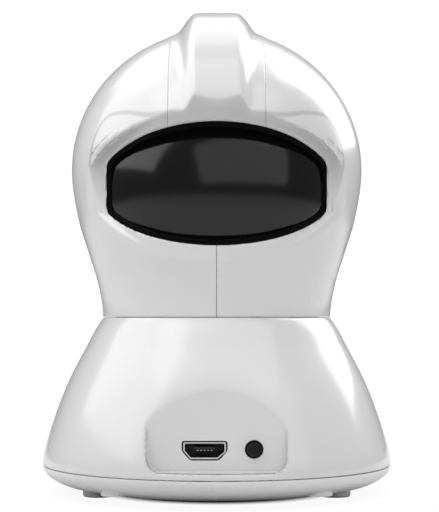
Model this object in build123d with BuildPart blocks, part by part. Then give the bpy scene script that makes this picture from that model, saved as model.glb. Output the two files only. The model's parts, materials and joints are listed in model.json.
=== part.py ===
"""Pan and tilt baby monitor camera: a helmet-shaped head with a crest turns on a flared base,
and a dark eyeball tilts inside the head, seen through an oval window at the front and at the back.

Frame: millimetres, +Z up, origin on the floor under the pan axis. The lens looks along -Y,
and the USB socket and the reset button are at the back, on +Y.
"""

from build123d import *
from math import cos, pi, radians, sin
import os

os.makedirs("parts", exist_ok=True)

ON_SPOT = (Align.CENTER, Align.CENTER, Align.MIN)  # a box or cylinder that stands on its location

# ---------------------------------------------------------------- driving dimensions
WALL = 2.0  # general wall of the mouldings
RUN = 0.08  # radial running clearance of a shaft in its hole
GAP = 0.35  # clearance between bodies that move past each other

COVER_FLOOR_Z = 0.9  # underside of the bottom cover; the feet stand on z = 0
COVER_WALL = 1.8
COVER_FLAT_R = 24.0  # radius of the flat underside, where the rounded edge starts
SEAM_Z = 5.6  # joint line between the bottom cover and the base shell
WIDEST_Z = 6.2
BASE_R = 35.6
BASE_SKIRT = [(26.9, 29.5), (30.3, 22.9), (32.9, 16.4), (35.0, 9.8)]
BASE_TOP_Z = 35.6  # top of the base, where the head starts
BASE_TOP_R = 23.4
DECK_Z = 30.8  # underside of the deck that carries the head
DECK_TOP_Z = 32.8

HEAD_Z = BASE_TOP_Z + GAP
HEAD_WALL = 2.2
NECK = [(24.4, 42.6), (26.4, 49.1), (28.4, 55.7)]
DOME_Z = 65.8  # centre height of the dome's ellipse
DOME_R = 29.8  # its horizontal radius
DOME_TOP_Z = 94.6

EYE_Z = 61.4  # tilt axis
EYE_R = 24.5
EYE_HALF_WIDTH = 20.9  # the eyeball is cut flat here, where it is pivoted
EYE_WALL = 1.6
LENS_WINDOW_R = 10.4

WINDOW_OVAL_X, WINDOW_OVAL_Z = 23.5, 11.6  # half-axes of the window's oval
WINDOW_HALF_WIDTH = 21.5  # its upright ends cut the oval off here
WINDOW_Z = EYE_Z - 0.35
WINDOW_CORNER_R = 1.8
WINDOW_Y = 8.0  # the window is cut from here outwards
BEZEL_WIDTH = 1.1  # black frame that shows inside the window
RIM_HALF_WIDTH = 24.8
RIM_Z = EYE_Z + 1.6  # height of the rim's widest points
RIM_RISE, RIM_DROP = 11.7, 15.0
RIM_TOP_Z = RIM_Z + RIM_RISE
RIM_LEAN = 0.09  # the rim's face leans in by this much per millimetre downwards
RIM_FACE = [(0, 28.5), (12, 25.9), (19, 20.8), (21.5, 18.6), (24.8, 17.2), (32, 16.4)]  # at RIM_TOP_Z

CREST_Z = 68.0  # centre height of the crest's arc
CREST_R = 30.0
CREST_TOP_HALF = 5.4
CREST_FOOT_HALF = 9.3
CREST_FOOT_R = 25.2
CREST_ROOT_R = 23.2
CREST_FLANK = (1.35, 2.7)  # out from the top edge and down to the middle of the hollow flank
CREST_SHOULDER_R = 1.1
CREST_BOTTOM_Z = CREST_Z + 3.0
CREST_WALL = 1.5  # left beside the channel inside the crest

PANEL_Y = 30.4  # upright connector face at the back
PANEL_HALF_WIDTH = 13.05
PANEL_FLOOR_Z = 6.9
PANEL_CORNER_R = 2.6
PANEL_HEIGHT, PANEL_DEPTH = 20.0, 12.0  # the face runs out through the flare above and behind it
USB_X = 2.26
BUTTON_X, BUTTON_Z, BUTTON_HOLE_R = -6.98, 11.1, 1.75

HUB_R = 8.0  # the turntable's hub, which turns in the deck
HUB_BORE_R = 4.6
HUB_BOTTOM_Z = 25.3
PLATE_Z, PLATE_TOP_Z, PLATE_R = 33.4, 35.6, 20.9
HEAD_SCREW_SPOTS = PolarLocations(17.6, 4, start_angle=45)  # screws up through the turntable

GEAR_Z, GEAR_T = 27.3, 3.0
MODULE = 0.5
GEAR_TEETH, PINION_TEETH = 48, 12
PINION_Y = -(GEAR_TEETH + PINION_TEETH) * MODULE / 2
MOTOR_R, MOTOR_Z, MOTOR_TOP_Z = 8.0, 12.6, 25.0
MOTOR_EAR_X = 11.5

BOARD_Z, BOARD_T, BOARD_R = 8.3, 1.2, 27.0
BOARD_TOP_Z = BOARD_Z + BOARD_T
BOARD_POSTS = [(x * 19.0, y * 13.0) for x in (-1, 1) for y in (-1, 1)]
SPEAKER_Y = -9.5
SPEAKER_R = 10.2
FOOT_SPOTS = [(x * 23.6, y * 10.5) for x in (-1, 1) for y in (-1, 1)]
FOOT_R = 3.1
COVER_SCREW_RING_R = 30.0
COVER_SCREW_ANGLES = [radians(a) for a in (50, 130, 230, 310)]
COVER_SCREWS = [(COVER_SCREW_RING_R * cos(a), COVER_SCREW_RING_R * sin(a)) for a in COVER_SCREW_ANGLES]
BOSS_MEET_Z = 6.4  # where the cover's screw posts meet the shell's bosses

LED_COUNT = 8
LED_RING_R = 8.5


def save(part, name):
    """Labels a finished sub-part and writes it as the node of that name."""
    part.label = name
    export_step(part, f"parts/{name}.step")


def back(y):
    """Upright plane at depth y, seen so that its own X is the row's X; it extrudes towards +Y."""
    return Plane((0, y, 0), x_dir=(-1, 0, 0), z_dir=(0, 1, 0))


def side(x):
    """Upright plane at x, with its own X along +Y; it extrudes towards +X."""
    return Plane((x, 0, 0), x_dir=(0, 1, 0), z_dir=(1, 0, 0))


def turned(*outline):
    """A solid of revolution about Z through a closed outline of (radius, height) points."""
    with BuildPart() as solid:
        with BuildSketch(Plane.XZ):
            with BuildLine():
                Polyline(*outline, close=True)
            make_face()
        revolve(axis=Axis.Z)
    return solid.part


def screw(head_r, head_t, shank_r, length):
    """A cross-head screw standing on its tip: the head is lowest and the shank points up."""
    with BuildPart() as body:
        with BuildSketch():
            Circle(head_r)
        extrude(amount=head_t)
        fillet(body.faces().sort_by(Axis.Z)[0].edges(), head_t * 0.4)
        with BuildSketch(Plane.XY.offset(head_t)):
            Circle(shank_r)
        extrude(amount=length)
        chamfer(body.faces().sort_by(Axis.Z)[-1].edges(), shank_r * 0.5)
        with BuildSketch():
            Rectangle(head_r * 1.2, head_r * 0.3)
            Rectangle(head_r * 0.3, head_r * 1.2)
        extrude(amount=head_t * 0.5, mode=Mode.SUBTRACT)
    return body.part


def placed(part, spots, z):
    """Copies of a part at several (x, y) spots, as one group of separate solids."""
    return Compound(children=[Pos(x, y, z) * part for x, y in spots])


# ---------------------------------------------------------------- base
def base_solid(inset, bottom_z, top_z):
    """Solid inside the base's flared outside, drawn in by inset, between two heights."""
    with BuildPart() as solid:
        with BuildSketch(Plane.XZ):
            with BuildLine():
                flare = Spline(
                    (BASE_TOP_R - inset, BASE_TOP_Z),
                    *[(r - inset, z) for r, z in BASE_SKIRT],
                    (BASE_R - inset, WIDEST_Z),
                    tangents=[(0.6, -0.8), (0.0, -1.0)],
                )
                Polyline(
                    flare @ 1,
                    (BASE_R - inset, SEAM_Z),
                    (0, SEAM_Z),
                    (0, BASE_TOP_Z),
                    flare @ 0,
                )
            make_face()
        revolve(axis=Axis.Z)
        split(bisect_by=Plane.XY.offset(top_z), keep=Keep.BOTTOM)
        split(bisect_by=Plane.XY.offset(bottom_z), keep=Keep.TOP)
    return solid.part


def connector_block(grow, depth_y):
    """The upright block round the connector face: grown by a wall, starting at depth_y."""
    with BuildPart() as block:
        with BuildSketch(back(depth_y)) as outline:
            with Locations((0, PANEL_FLOOR_Z - grow)):
                Rectangle(2 * (PANEL_HALF_WIDTH + grow), PANEL_HEIGHT, align=(Align.CENTER, Align.MIN))
            fillet(outline.vertices().group_by(Axis.Y)[0], PANEL_CORNER_R)
        extrude(amount=PANEL_DEPTH)
    return block.part


def usb_outline(width, height):
    """D-shaped outline of a micro-USB mouth: straight on top, with its lower corners cut."""
    with BuildSketch() as outline:
        Rectangle(width, height)
        chamfer(outline.vertices().group_by(Axis.Y)[0], height * 0.5, height * 0.42)
        fillet(outline.vertices(), height * 0.12)
    return outline.sketch


USB_BODY = (7.4, 2.7)
USB_MOUTH = (8.0, 3.2)
USB_OPENING = (8.6, 3.7)  # hole in the connector face
USB_Z = BOARD_TOP_Z + USB_BODY[1] / 2
SHELL_BOSS_R, SHELL_BOSS_HEIGHT = 2.6, 7.0
COVER_PILOT_R, COVER_PILOT_DEPTH = 1.0, 6.0  # holes that the cover screws cut their thread in
MOTOR_POST_R, MOTOR_PILOT_R, MOTOR_PILOT_DEPTH = 2.2, 0.8, 4.5
MOTOR_POSTS = [(-MOTOR_EAR_X, PINION_Y), (MOTOR_EAR_X, PINION_Y)]

with BuildPart() as base_shell:
    add(base_solid(0, SEAM_Z, BASE_TOP_Z))
    add(base_solid(WALL, SEAM_Z, DECK_Z), mode=Mode.SUBTRACT)
    add(connector_block(WALL * 0.6, PANEL_Y - WALL) & base_solid(0, SEAM_Z, BASE_TOP_Z))
    add(connector_block(0, PANEL_Y), mode=Mode.SUBTRACT)
    with Locations((0, 0, DECK_TOP_Z)):
        Cylinder(BASE_TOP_R - WALL, 5, align=ON_SPOT, mode=Mode.SUBTRACT)
    with Locations((0, 0, DECK_Z - 1)):
        Cylinder(HUB_R + RUN, 5, align=ON_SPOT, mode=Mode.SUBTRACT)
    with BuildSketch(back(PANEL_Y - WALL)):
        with Locations((-USB_X, USB_Z)):
            add(usb_outline(*USB_OPENING))
        with Locations((-BUTTON_X, BUTTON_Z)):
            Circle(BUTTON_HOLE_R)
    extrude(amount=WALL + 1, mode=Mode.SUBTRACT)
    with BuildSketch(Plane.XY.offset(BOSS_MEET_Z)):
        with Locations(*COVER_SCREWS):
            Circle(SHELL_BOSS_R)
    extrude(amount=SHELL_BOSS_HEIGHT)
    with BuildSketch(Plane.XY.offset(MOTOR_TOP_Z)):
        with Locations(*MOTOR_POSTS):
            Circle(MOTOR_POST_R)
    extrude(until=Until.NEXT)
    with BuildSketch(Plane.XY.offset(BOSS_MEET_Z)):
        with Locations(*COVER_SCREWS):
            Circle(COVER_PILOT_R)
    extrude(amount=COVER_PILOT_DEPTH, mode=Mode.SUBTRACT)
    with BuildSketch(Plane.XY.offset(MOTOR_TOP_Z)):
        with Locations(*MOTOR_POSTS):
            Circle(MOTOR_PILOT_R)
    extrude(amount=MOTOR_PILOT_DEPTH, mode=Mode.SUBTRACT)
save(base_shell.part, "base_shell")


def bowl(inset, top_z):
    """Solid of the bottom cover's rounded outside, drawn in by inset and cut level at top_z."""
    floor_z = COVER_FLOOR_Z + inset
    with BuildPart() as solid:
        with BuildSketch(Plane.XZ):
            with BuildLine():
                edge = EllipticalCenterArc(
                    (COVER_FLAT_R, SEAM_Z),
                    BASE_R - COVER_FLAT_R - inset,
                    SEAM_Z - floor_z,
                    start_angle=270,
                    arc_size=90,
                )
                Line(edge @ 1, (BASE_R - inset, top_z))
                Line((BASE_R - inset, top_z), (0, top_z))
                Line((0, top_z), (0, floor_z))
                Line((0, floor_z), edge @ 0)
            make_face()
        revolve(axis=Axis.Z)
        split(bisect_by=Plane.XY.offset(SEAM_Z), keep=Keep.BOTTOM)
    return solid.part


COVER_INSIDE_Z = COVER_FLOOR_Z + COVER_WALL
LIP_R = BASE_R - WALL - 0.2
LIP_T, LIP_HEIGHT = 1.4, 1.6  # the lip that stands up inside the base shell
LIP_BOTTOM_Z = COVER_INSIDE_Z + 0.6
COVER_BOSS_R, COVER_BOSS_BOTTOM_Z = 2.9, COVER_FLOOR_Z + 0.8
BOARD_POST_R, BOARD_PILOT_R = 2.1, 0.8
SPEAKER_WALL, SPEAKER_WALL_HEIGHT = 1.1, 1.8
SOUND_HOLE_R = 0.6
SOUND_RINGS = [(3.2, 6), (6.4, 12)]  # radius and number of holes in each ring over the speaker
FOOT_SEAT = 0.6
SCREW_HEAD_R, SCREW_HEAD_T, SCREW_SHANK_R, SCREW_SEAT_Z = 2.0, 1.3, 0.95, 3.4

with BuildPart() as bottom_cover:
    add(bowl(0, SEAM_Z + 1))
    add(bowl(COVER_WALL, SEAM_Z + 1), mode=Mode.SUBTRACT)
    with BuildSketch(Plane.XY.offset(LIP_BOTTOM_Z)):
        Circle(LIP_R)
        Circle(LIP_R - LIP_T, mode=Mode.SUBTRACT)
        with Locations((0, PANEL_Y)):
            Rectangle(2 * PANEL_HALF_WIDTH + 6, 8, mode=Mode.SUBTRACT)
        with Locations(*COVER_SCREWS):
            Circle(COVER_BOSS_R, mode=Mode.SUBTRACT)
    extrude(amount=SEAM_Z + LIP_HEIGHT - LIP_BOTTOM_Z)
    with BuildSketch(Plane.XY.offset(COVER_BOSS_BOTTOM_Z)):
        with Locations(*COVER_SCREWS):
            Circle(COVER_BOSS_R)
    extrude(amount=BOSS_MEET_Z - COVER_BOSS_BOTTOM_Z)
    with BuildSketch(Plane.XY.offset(COVER_INSIDE_Z - 0.2)):
        with Locations(*BOARD_POSTS):
            Circle(BOARD_POST_R)
        with Locations((0, SPEAKER_Y)):
            Circle(SPEAKER_R + RUN + SPEAKER_WALL)
            Circle(SPEAKER_R + RUN, mode=Mode.SUBTRACT)
    extrude(amount=SPEAKER_WALL_HEIGHT)
    with BuildSketch(Plane.XY.offset(COVER_INSIDE_Z)):
        with Locations(*BOARD_POSTS):
            Circle(BOARD_POST_R)
    extrude(amount=BOARD_Z - COVER_INSIDE_Z)
    with BuildSketch(Plane.XY.offset(COVER_INSIDE_Z + 0.8)):
        with Locations(*BOARD_POSTS):
            Circle(BOARD_PILOT_R)
    extrude(amount=BOARD_Z - COVER_INSIDE_Z, mode=Mode.SUBTRACT)
    with BuildSketch(Plane.XY.offset(COVER_FLOOR_Z - 1)):
        with Locations(*COVER_SCREWS):
            Circle(SCREW_HEAD_R + 0.15)
    extrude(amount=SCREW_SEAT_Z - COVER_FLOOR_Z + 1, mode=Mode.SUBTRACT)
    with BuildSketch():
        with Locations(*COVER_SCREWS):
            Circle(SCREW_SHANK_R + 0.15)
        with Locations((0, SPEAKER_Y)):
            Circle(SOUND_HOLE_R)
            for ring_r, count in SOUND_RINGS:
                with PolarLocations(ring_r, count):
                    Circle(SOUND_HOLE_R)
    extrude(amount=BOSS_MEET_Z + 1, mode=Mode.SUBTRACT)
    with BuildSketch(Plane.XY.offset(COVER_FLOOR_Z - 1)):
        with Locations(*FOOT_SPOTS):
            Circle(FOOT_R + 0.05)
    extrude(amount=1 + FOOT_SEAT, mode=Mode.SUBTRACT)
save(bottom_cover.part, "bottom_cover")

with BuildPart() as foot:
    with BuildSketch():
        Circle(FOOT_R)
    extrude(amount=COVER_FLOOR_Z + FOOT_SEAT)
    fillet(foot.faces().sort_by(Axis.Z)[0].edges(), 0.45)
save(placed(foot.part, FOOT_SPOTS, 0), "rubber_feet")

cover_screw = screw(SCREW_HEAD_R, SCREW_HEAD_T, SCREW_SHANK_R, 8.0)
save(placed(cover_screw, COVER_SCREWS, SCREW_SEAT_Z - SCREW_HEAD_T), "cover_screws")

# ---------------------------------------------------------------- base: electronics
BOARD_HOLE_R = 1.0
BOARD_SCREW_HEAD_T = 1.0

with BuildPart() as main_board:
    with BuildSketch(Plane.XY.offset(BOARD_Z)):
        Circle(BOARD_R)
        with Locations(*BOARD_POSTS):
            Circle(BOARD_HOLE_R, mode=Mode.SUBTRACT)
    extrude(amount=BOARD_T)
save(main_board.part, "main_board")

board_screw = Rot(180, 0, 0) * screw(1.6, BOARD_SCREW_HEAD_T, 0.75, 4.0)
save(placed(board_screw, BOARD_POSTS, BOARD_TOP_Z + BOARD_SCREW_HEAD_T), "board_screws")

USB_BACK_Y, USB_NECK_Y, USB_MOUTH_Y = 23.4, 29.2, 30.1
USB_SHEET = 0.3


def usb_shape(inset):
    """The socket's sheet-metal sleeve as a solid, drawn in by inset; its mouth flares."""
    body = (USB_BODY[0] - 2 * inset, USB_BODY[1] - 2 * inset)
    mouth = (USB_MOUTH[0] - 2 * inset, USB_MOUTH[1] - 2 * inset)
    with BuildPart() as sleeve:
        with BuildSketch(back(USB_BACK_Y + 2 * inset)):
            with Locations((-USB_X, USB_Z)):
                add(usb_outline(*body))
        extrude(amount=USB_NECK_Y - USB_BACK_Y - 2 * inset)
        for depth_y, size in ((USB_NECK_Y, body), (USB_MOUTH_Y, mouth)):
            with BuildSketch(back(depth_y)):
                with Locations((-USB_X, USB_Z)):
                    add(usb_outline(*size))
        loft()
    return sleeve.part


with BuildPart() as usb_socket:
    add(usb_shape(0))
    add(usb_shape(USB_SHEET), mode=Mode.SUBTRACT)
save(usb_socket.part, "usb_socket")

TONGUE_Z, TONGUE_T = USB_Z + 0.35, 0.6
TONGUE_PLUG = [size - 2 * USB_SHEET - 0.1 for size in USB_BODY]  # the moulded block at the tongue's root
with BuildPart() as usb_tongue:
    with BuildSketch(back(USB_BACK_Y + 2 * USB_SHEET + 0.1)):
        with Locations((-USB_X, USB_Z)):
            add(usb_outline(*TONGUE_PLUG))
    extrude(amount=1.2)
    with Locations((USB_X, USB_BACK_Y + 1.5, TONGUE_Z)):
        Box(3.8, 4.6, TONGUE_T, align=(Align.CENTER, Align.MIN, Align.CENTER))
save(usb_tongue.part, "usb_tongue")

CONTACT_PITCH = 0.65
CONTACT_Y, CONTACT_Z = USB_BACK_Y + 2.6, TONGUE_Z - TONGUE_T / 2
with BuildPart() as usb_contact:
    Box(0.3, 3.4, 0.12, align=(Align.CENTER, Align.MIN, Align.MAX))
contacts = [Pos(USB_X + CONTACT_PITCH * i, CONTACT_Y, CONTACT_Z) * usb_contact.part for i in range(-2, 3)]
save(Compound(children=contacts), "usb_contacts")

SWITCH_Y = 26.2
SWITCH_SOCKET_R, SWITCH_SOCKET_DEPTH = 1.0, 1.6
PLUNGER_Y, PLUNGER_R, PLUNGER_ROOT = 27.1, 0.9, 1.0
with BuildPart() as reset_switch:
    with Locations((BUTTON_X, SWITCH_Y, BOARD_TOP_Z)):
        Box(6.0, 3.8, 3.4, align=(Align.CENTER, Align.MAX, Align.MIN))
    chamfer(reset_switch.edges().filter_by(Axis.Y), 0.5)
    with BuildSketch(back(SWITCH_Y - SWITCH_SOCKET_DEPTH)):
        with Locations((-BUTTON_X, BUTTON_Z)):
            Circle(SWITCH_SOCKET_R)
    extrude(amount=SWITCH_SOCKET_DEPTH, mode=Mode.SUBTRACT)
save(reset_switch.part, "reset_switch")

with BuildPart() as switch_plunger:
    with BuildSketch(back(SWITCH_Y - PLUNGER_ROOT)):
        with Locations((-BUTTON_X, BUTTON_Z)):
            Circle(PLUNGER_R)
    extrude(amount=PLUNGER_Y - SWITCH_Y + PLUNGER_ROOT)
save(switch_plunger.part, "switch_plunger")

# The button's flange stops behind the wall, its body slides in the hole and its nub stands proud of the face.
BUTTON_STEPS = [(PANEL_Y - WALL - 0.1, 2.6), (PANEL_Y - 0.5, BUTTON_HOLE_R - RUN), (PANEL_Y + 1.0, 1.25)]
with BuildPart() as reset_button:
    for end_y, radius in BUTTON_STEPS:
        with BuildSketch(back(PLUNGER_Y)):
            with Locations((-BUTTON_X, BUTTON_Z)):
                Circle(radius)
        extrude(amount=end_y - PLUNGER_Y)
    fillet(reset_button.faces().sort_by(Axis.Y)[-1].edges(), 0.35)
save(reset_button.part, "reset_button")

CHIP_X, CHIP_Y, CHIP_SIZE, CHIP_T = -12.5, 3.0, 10.0, 1.0
with BuildPart() as soc_chip:
    with Locations((CHIP_X, CHIP_Y, BOARD_TOP_Z)):
        Box(CHIP_SIZE, CHIP_SIZE, CHIP_T, align=ON_SPOT)
save(soc_chip.part, "soc_chip")

SINK_SIZE, FIN_COUNT, FIN_PITCH = CHIP_SIZE + 1.0, 6, 1.9
with BuildPart() as heat_sink:
    with Locations((CHIP_X, CHIP_Y, BOARD_TOP_Z + CHIP_T)):
        Box(SINK_SIZE, SINK_SIZE, 1.0, align=ON_SPOT)
        with GridLocations(0, FIN_PITCH, 1, FIN_COUNT):
            Box(SINK_SIZE, 0.7, 4.5, align=ON_SPOT)
save(heat_sink.part, "heat_sink")

WIFI_X, WIFI_BOARD_T = 13.5, 0.6
with BuildPart() as wifi_module:
    with Locations((WIFI_X, 2.0, BOARD_TOP_Z)):
        Box(12, 14, WIFI_BOARD_T, align=ON_SPOT)
    with Locations((WIFI_X, 1.0, BOARD_TOP_Z + WIFI_BOARD_T)):
        Box(10.6, 10.6, 1.8, align=ON_SPOT)
    fillet(wifi_module.faces().sort_by(Axis.Z)[-1].edges(), 0.4)
save(wifi_module.part, "wifi_module")

ANTENNA_Y = -25.9
with BuildPart() as antenna:
    with Locations((0, ANTENNA_Y, BOARD_TOP_Z)):
        Box(14, 0.8, 10, align=ON_SPOT)
save(antenna.part, "antenna_board")

WIRE_RING_R, WIRE_R = 1.49, 0.72  # six wires round a core
HARNESS_Z, HARNESS_TOP_Z = BOARD_TOP_Z + 3.0, 35.4
with BuildPart() as board_connector:
    with Locations((0, 0, BOARD_TOP_Z)):
        Box(8.0, 5.6, HARNESS_Z - BOARD_TOP_Z, align=ON_SPOT)
    chamfer(board_connector.edges().filter_by(Axis.Z), 0.5)
save(board_connector.part, "board_connector")

SPEAKER_AT = Pos(0, SPEAKER_Y, COVER_INSIDE_Z)  # the speaker's outlines have their heights above the cover
BASKET_INSIDE_R, BASKET_HEIGHT, BASKET_T = 8.8, 3.2, 0.6
speaker_basket = turned(
    (BASKET_INSIDE_R, 0.05),
    (SPEAKER_R, 0.05),
    (SPEAKER_R, BASKET_HEIGHT),
    (0, BASKET_HEIGHT),
    (0, BASKET_HEIGHT - BASKET_T),
    (BASKET_INSIDE_R, BASKET_HEIGHT - BASKET_T),
)
save(SPEAKER_AT * speaker_basket, "speaker_basket")

speaker_cone = turned(
    (8.75, 0.5), (8.75, 0.8), (7.6, 1.0), (3.2, 2.2), (0, 1.7), (0, 1.4), (3.0, 1.8), (7.4, 0.65)
)
save(SPEAKER_AT * speaker_cone, "speaker_cone")

MAGNET_R, MAGNET_TOP = 5.6, BASKET_HEIGHT + 2.0
speaker_magnet = turned(
    (0, BASKET_HEIGHT),
    (MAGNET_R, BASKET_HEIGHT),
    (MAGNET_R, MAGNET_TOP - 0.4),
    (MAGNET_R - 0.4, MAGNET_TOP),
    (0, MAGNET_TOP),
)
save(SPEAKER_AT * speaker_magnet, "speaker_magnet")

# ---------------------------------------------------------------- pan drive
SHAFT_R, MOTOR_BORE_R = 1.0, 1.1
EAR_T, EAR_WIDTH, EAR_HOLE_R = 0.8, 5.0, 1.1
with BuildPart() as pan_motor:
    with BuildSketch(Plane.XY.offset(MOTOR_Z)):
        with Locations((0, PINION_Y)):
            Circle(MOTOR_R)
    extrude(amount=MOTOR_TOP_Z - MOTOR_Z)
    fillet(pan_motor.faces().sort_by(Axis.Z)[0].edges(), 0.8)
    with BuildSketch(Plane.XY.offset(MOTOR_TOP_Z - EAR_T)):
        with Locations((0, PINION_Y)):
            SlotCenterToCenter(2 * MOTOR_EAR_X, EAR_WIDTH)
        with Locations(*MOTOR_POSTS):
            Circle(EAR_HOLE_R, mode=Mode.SUBTRACT)
    extrude(amount=EAR_T)
    with BuildSketch(Plane.XY.offset(MOTOR_Z)):
        with Locations((0, PINION_Y)):
            Circle(MOTOR_BORE_R)
    extrude(amount=MOTOR_TOP_Z - MOTOR_Z, mode=Mode.SUBTRACT)
save(pan_motor.part, "pan_motor")

MOTOR_SCREW_HEAD_T = 1.1
motor_screw = screw(1.7, MOTOR_SCREW_HEAD_T, 0.75, 4.6)
save(placed(motor_screw, MOTOR_POSTS, MOTOR_TOP_Z - EAR_T - MOTOR_SCREW_HEAD_T), "motor_screws")

ADDENDUM, DEDENDUM = 0.85 * MODULE, 1.25 * MODULE
TOOTH_ROOT_HALF, TOOTH_TIP_HALF = 0.933 * MODULE, 0.359 * MODULE


def spur_gear(teeth, bore_r, turn):
    """Straight-toothed gear blank with trapezoid teeth, thinned a little for backlash."""
    pitch_r = teeth * MODULE / 2
    root_r, tip_r = pitch_r - DEDENDUM, pitch_r + ADDENDUM
    with BuildSketch() as tooth:
        with BuildLine():
            Polyline(
                (root_r * 0.96, -TOOTH_ROOT_HALF),
                (tip_r, -TOOTH_TIP_HALF),
                (tip_r, TOOTH_TIP_HALF),
                (root_r * 0.96, TOOTH_ROOT_HALF),
                close=True,
            )
        make_face()
    with BuildPart() as gear:
        with BuildSketch(Plane.XY.offset(GEAR_Z)):
            Circle(root_r)
            with PolarLocations(0, teeth, start_angle=turn):
                add(tooth.sketch)
            Circle(bore_r, mode=Mode.SUBTRACT)
        extrude(amount=GEAR_T)
    return gear.part


HALF_TOOTH = 180 / PINION_TEETH
save(spur_gear(GEAR_TEETH, HUB_R, 0), "pan_gear")
save(Pos(0, PINION_Y, 0) * spur_gear(PINION_TEETH, SHAFT_R, HALF_TOOTH), "pan_pinion")

with BuildPart() as motor_shaft:
    with BuildSketch(Plane.XY.offset(MOTOR_Z)):
        with Locations((0, PINION_Y)):
            Circle(SHAFT_R)
    extrude(amount=GEAR_Z + GEAR_T - MOTOR_Z)
save(motor_shaft.part, "motor_shaft")

CLIP_Z, CLIP_T, CLIP_GROOVE_R, CLIP_R = 26.2, 0.8, 7.3, 9.8
PLATE_HOLE_R, PLATE_SINK_R, PLATE_SINK_DEPTH = 1.1, 2.1, 1.2
RIM_T, RIM_HEIGHT = 0.9, 2.0  # ring on the plate that centres the head and covers the joint
with BuildPart() as turntable:
    add(
        turned(
            (HUB_BORE_R, HUB_BOTTOM_Z),
            (HUB_R - 0.4, HUB_BOTTOM_Z),
            (HUB_R, HUB_BOTTOM_Z + 0.5),
            (HUB_R, CLIP_Z),
            (CLIP_GROOVE_R, CLIP_Z),
            (CLIP_GROOVE_R, CLIP_Z + CLIP_T),
            (HUB_R, CLIP_Z + CLIP_T),
            (HUB_R, PLATE_Z),
            (PLATE_R, PLATE_Z),
            (PLATE_R, PLATE_TOP_Z),
            (HUB_BORE_R, PLATE_TOP_Z),
        )
    )
    with BuildSketch(Plane.XY.offset(PLATE_Z)):
        with HEAD_SCREW_SPOTS:
            Circle(PLATE_HOLE_R)
    extrude(amount=PLATE_TOP_Z - PLATE_Z, mode=Mode.SUBTRACT)
    with BuildSketch(Plane.XY.offset(PLATE_Z)):
        with HEAD_SCREW_SPOTS:
            Circle(PLATE_SINK_R)
    extrude(amount=PLATE_SINK_DEPTH, mode=Mode.SUBTRACT)
    with BuildSketch(Plane.XY.offset(PLATE_TOP_Z)):
        Circle(PLATE_R)
        Circle(PLATE_R - RIM_T, mode=Mode.SUBTRACT)
        with PolarLocations(PLATE_R, 4, start_angle=45):
            Rectangle(6, 3, mode=Mode.SUBTRACT)
    extrude(amount=RIM_HEIGHT)
save(turntable.part, "turntable")

WASHER_R, WASHER_Z = 13.0, DECK_TOP_Z + 0.04
with BuildPart() as washer:
    with BuildSketch(Plane.XY.offset(WASHER_Z)):
        Circle(WASHER_R)
        Circle(HUB_R + 0.1, mode=Mode.SUBTRACT)
    extrude(amount=PLATE_Z - WASHER_Z)
save(washer.part, "thrust_washer")

with BuildPart() as retaining_clip:
    with BuildSketch(Plane.XY.offset(CLIP_Z)):
        Circle(CLIP_R)
        Circle(CLIP_GROOVE_R, mode=Mode.SUBTRACT)
        with Locations((0, 9)):
            Rectangle(7.0, 9.0, mode=Mode.SUBTRACT)
    extrude(amount=CLIP_T)
save(retaining_clip.part, "retaining_clip")

head_screw = screw(1.8, 1.0, 0.8, 5.0)
head_screws = [Pos(0, 0, PLATE_Z + 0.2) * spot * head_screw for spot in HEAD_SCREW_SPOTS]
save(Compound(children=head_screws), "turntable_screws")

with BuildPart() as harness:
    with BuildSketch(Plane.XY.offset(HARNESS_Z)):
        with PolarLocations(WIRE_RING_R, 6):
            Circle(WIRE_R)
        Circle(WIRE_RING_R - WIRE_R + 0.08)
    extrude(amount=HARNESS_TOP_Z - HARNESS_Z)
save(harness.part, "wire_harness")

# ---------------------------------------------------------------- head: casings
def head_solid(inset):
    """Solid inside the head's outside, drawn in by inset: a waisted neck under a domed top."""
    with BuildPart() as solid:
        with BuildSketch(Plane.XZ):
            with BuildLine():
                neck = Spline(
                    (BASE_TOP_R - inset, HEAD_Z),
                    *[(r - inset, z) for r, z in NECK],
                    (DOME_R - inset, DOME_Z),
                    tangents=[(0.0, 1.0), (0.0, 1.0)],
                )
                dome = EllipticalCenterArc(
                    (0, DOME_Z), DOME_R - inset, DOME_TOP_Z - DOME_Z - inset, start_angle=0, arc_size=90
                )
                Line(dome @ 1, (0, HEAD_Z))
                Line((0, HEAD_Z), neck @ 0)
            make_face()
        revolve(axis=Axis.Z)
    return solid.part


def window_outline(grow):
    """The window: an oval cut off by upright ends."""
    with BuildSketch() as outline:
        Ellipse(WINDOW_OVAL_X + grow, WINDOW_OVAL_Z + grow)
        Rectangle(2 * (WINDOW_HALF_WIDTH + grow), 3 * WINDOW_OVAL_Z, mode=Mode.INTERSECT)
        fillet(outline.vertices(), WINDOW_CORNER_R + grow)
    return outline.sketch


def window_block(grow, start_y, length):
    """The window's outline run along Y at the back of the head."""
    with BuildPart() as block:
        with BuildSketch(back(start_y)):
            with Locations((0, WINDOW_Z)):
                add(window_outline(grow))
        extrude(amount=length)
    return block.part


def beyond_rim_face(sunk):
    """The space behind the rim's face, at the back of the head; sunk moves the face inwards."""
    foot_z, top_z = 40.0, 86.0
    far_x, far_y = 32, 50  # well outside the head
    shift = -sunk - RIM_LEAN * (RIM_TOP_Z - foot_z)
    right = [(x, y + shift) for x, y in RIM_FACE]
    left = [(-x, y) for x, y in right[:0:-1]]
    with BuildPart() as space:
        with BuildSketch(Plane.XY.offset(foot_z)):
            with BuildLine():
                face = Spline(*left, *right)
                Polyline(face @ 1, (far_x, far_y), (-far_x, far_y), face @ 0)
            make_face()
        extrude(amount=top_z - foot_z, dir=(0, RIM_LEAN, 1))
    return space.part


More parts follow.
